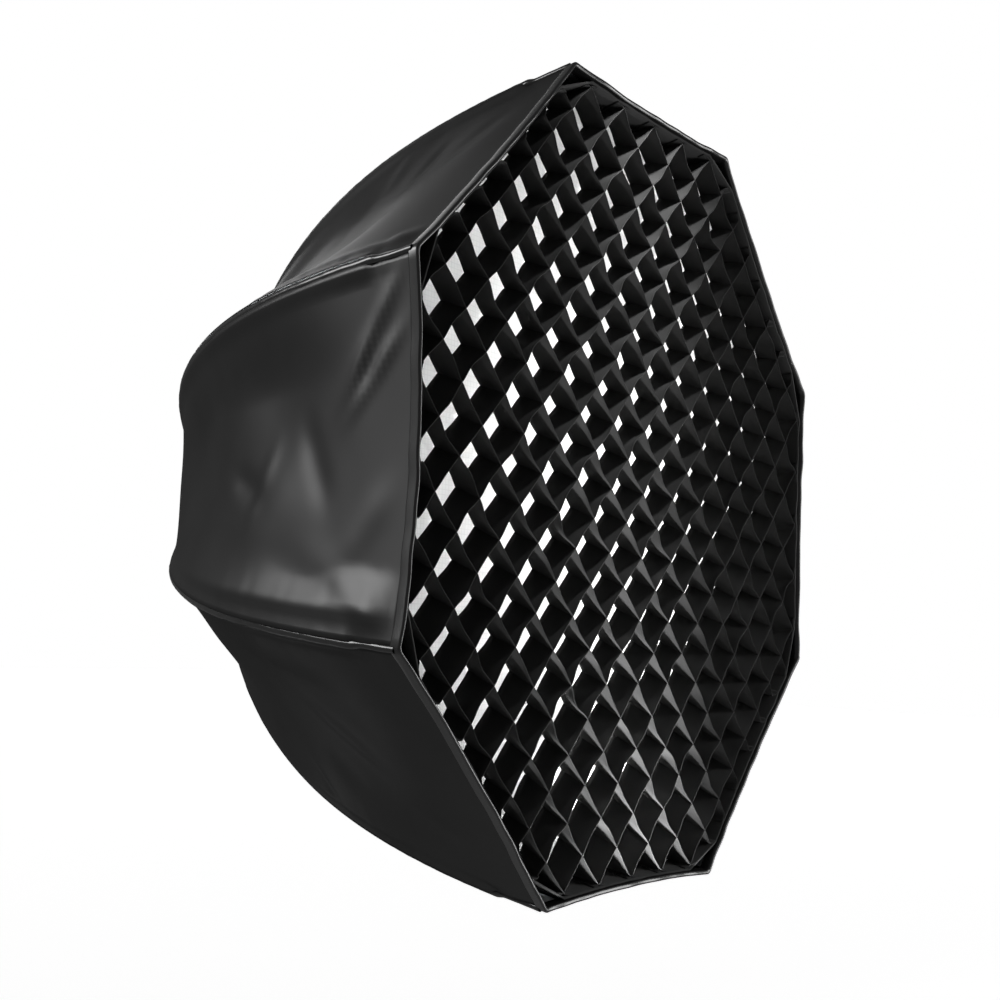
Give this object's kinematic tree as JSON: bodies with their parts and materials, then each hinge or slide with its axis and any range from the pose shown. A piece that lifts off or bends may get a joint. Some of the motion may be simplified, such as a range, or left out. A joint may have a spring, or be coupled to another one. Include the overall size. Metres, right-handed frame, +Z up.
{
  "type": "studio softbox",
  "caption": "Octagonal fabric softbox bowed out on spring rods, with a white front diffuser, an inner baffle, a crossed-strip fabric grid and a turning speed ring for a studio lamp.",
  "frame": {"origin": "centre of the mount ring's rear seat, where it meets the lamp", "axes": "+Y along the softbox's axis towards the lamp, so the front looks along -Y; +Z up with a flat side of the octagon on top"},
  "size_m": [0.8776, 0.6352, 0.8776],
  "materials": {
    "black_nylon": "coated satin nylon, silver-lined on the inside of the shell",
    "black_webbing": "matte woven webbing and hook-and-loop tape",
    "white_nylon": "matte translucent diffuser nylon",
    "spring_steel": "drawn steel",
    "cast_aluminium": "turned and bead-blasted",
    "black_plastic": "moulded"
  },
  "bodies": {
    "mount": {"mount_ring": "cast_aluminium", "retaining_ring": "cast_aluminium", "retaining_screw_1": "spring_steel", "retaining_screw_2": "spring_steel", "retaining_screw_3": "spring_steel"},
    "softbox": {"speed_ring": "cast_aluminium", "rear_cuff": "black_webbing", "rod_socket_1": "spring_steel", "rod_socket_2": "spring_steel", "rod_socket_3": "spring_steel", "rod_socket_4": "spring_steel", "rod_socket_5": "spring_steel", "rod_socket_6": "spring_steel", "rod_socket_7": "spring_steel", "rod_socket_8": "spring_steel", "rod_1": "spring_steel", "rod_2": "spring_steel", "rod_3": "spring_steel", "rod_4": "spring_steel", "rod_5": "spring_steel", "rod_6": "spring_steel", "rod_7": "spring_steel", "rod_8": "spring_steel", "shell_panel_1": "black_nylon", "shell_panel_2": "black_nylon", "shell_panel_3": "black_nylon", "shell_panel_4": "black_nylon", "shell_panel_5": "black_nylon", "shell_panel_6": "black_nylon", "shell_panel_7": "black_nylon", "shell_panel_8": "black_nylon", "seam_piping_1": "black_nylon", "seam_piping_2": "black_nylon", "seam_piping_3": "black_nylon", "seam_piping_4": "black_nylon", "seam_piping_5": "black_nylon", "seam_piping_6": "black_nylon", "seam_piping_7": "black_nylon", "seam_piping_8": "black_nylon", "corner_pocket_1": "black_webbing", "corner_pocket_2": "black_webbing", "corner_pocket_3": "black_webbing", "corner_pocket_4": "black_webbing", "corner_pocket_5": "black_webbing", "corner_pocket_6": "black_webbing", "corner_pocket_7": "black_webbing", "corner_pocket_8": "black_webbing", "front_hem": "black_nylon", "loop_tape": "black_webbing", "inner_baffle": "white_nylon", "baffle_strap_1": "black_webbing", "baffle_strap_2": "black_webbing", "baffle_strap_3": "black_webbing", "baffle_strap_4": "black_webbing"},
    "lock": {"lock_screw": "spring_steel", "lock_knob": "black_plastic"},
    "grid": {"grid_border": "black_webbing", "honeycomb_grid": "black_nylon"},
    "diffuser": {"diffuser_border": "white_nylon", "front_diffuser": "white_nylon"}
  },
  "joints": [
    {"name": "softbox_turn", "type": "hinge", "parent": "mount", "child": "softbox", "pos_m": [0, 0, 0], "axis": [0, 1, 0], "continuous": true},
    {"name": "lock_turn", "type": "hinge", "parent": "softbox", "child": "lock", "pos_m": [0, -0.0113, 0], "axis": [0, 0, -1], "range_deg": [0, 720]},
    {"name": "grid_pull", "type": "slide", "parent": "softbox", "child": "grid", "axis": [0, -1, 0], "range_m": [0, 0.25]},
    {"name": "diffuser_pull", "type": "slide", "parent": "softbox", "child": "diffuser", "axis": [0, -1, 0], "range_m": [0, 0.125]}
  ],
  "couplings": [
    {"joint": "diffuser_pull", "follows": "grid_pull", "ratio": 0.5}
  ]
}
